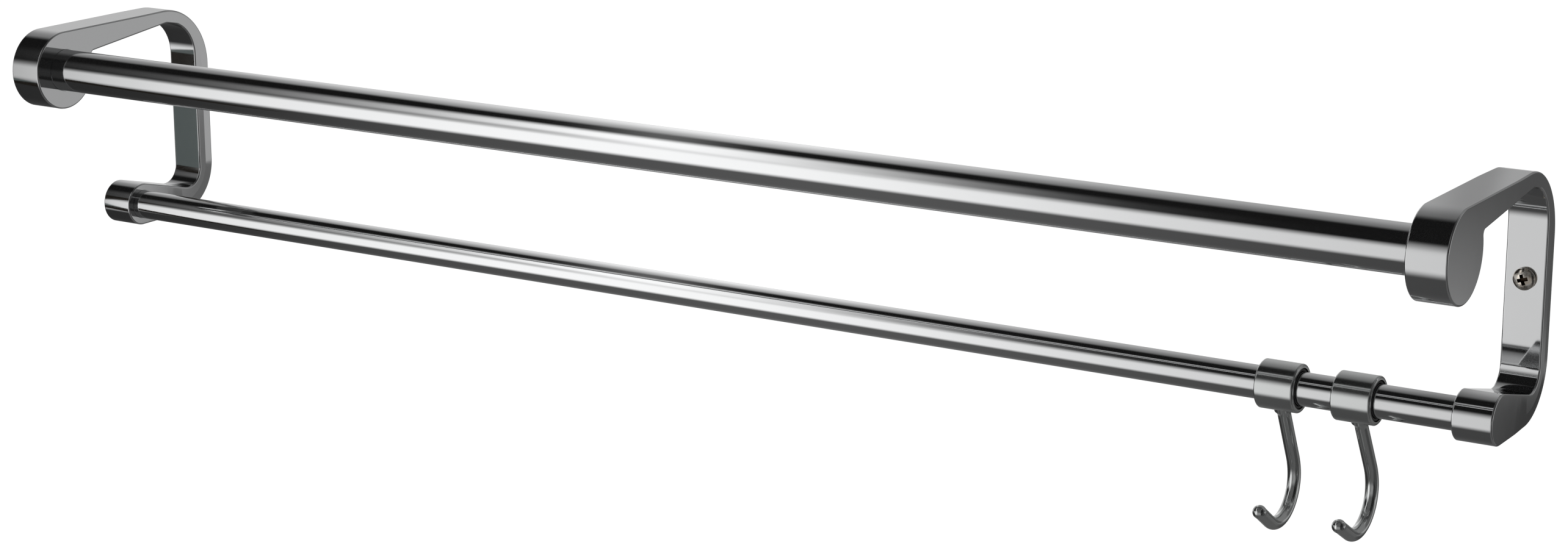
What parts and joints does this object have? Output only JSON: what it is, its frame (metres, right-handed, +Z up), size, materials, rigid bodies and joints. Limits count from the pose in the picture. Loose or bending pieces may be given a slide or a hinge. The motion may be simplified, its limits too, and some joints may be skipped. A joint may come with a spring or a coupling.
{
  "type": "towel bar",
  "caption": "Double wall towel bar: thick front bar and thin lower bar between looped end brackets, with J-shaped hooks that slide and swing on the thin bar.",
  "frame": {"origin": "on the wall plane, halfway between the brackets, at the height of the thick bar's axis", "axes": "+X along the bars, +Y into the wall, +Z up"},
  "size_m": [0.6, 0.113, 0.1286],
  "materials": {
    "casting": "mirror chrome on a zinc casting",
    "tube": "mirror chrome on brass tube",
    "hook": "mirror chrome on steel",
    "screw": "bright steel",
    "liner": "matt black nylon"
  },
  "bodies": {
    "rail": {"left_bracket": "casting", "right_bracket": "casting", "upper_bar": "tube", "lower_bar": "tube", "wall_screw_left": "screw", "wall_screw_right": "screw", "set_screw_upper_left": "screw", "set_screw_upper_right": "screw", "set_screw_lower_left": "screw", "set_screw_lower_right": "screw"},
    "slider_a": {"hook_liner_a": "liner"},
    "slider_b": {"hook_liner_b": "liner"},
    "swinging_hook_a": {"hook_a": "hook"},
    "swinging_hook_b": {"hook_b": "hook"}
  },
  "joints": [
    {"name": "hook_a_slide", "type": "slide", "parent": "rail", "child": "slider_a", "axis": [1, 0, 0], "range_m": [-0.5022, 0.0061]},
    {"name": "hook_a_swing", "type": "hinge", "parent": "slider_a", "child": "swinging_hook_a", "pos_m": [0.2237, -0.0435, -0.0628], "axis": [1, 0, 0], "range_deg": [-227, 50]},
    {"name": "hook_b_slide", "type": "slide", "parent": "rail", "child": "slider_b", "axis": [1, 0, 0], "range_m": [-0.0061, 0.0273]},
    {"name": "hook_b_swing", "type": "hinge", "parent": "slider_b", "child": "swinging_hook_b", "pos_m": [0.251, -0.0435, -0.0628], "axis": [1, 0, 0], "range_deg": [-230, 46.5]}
  ]
}
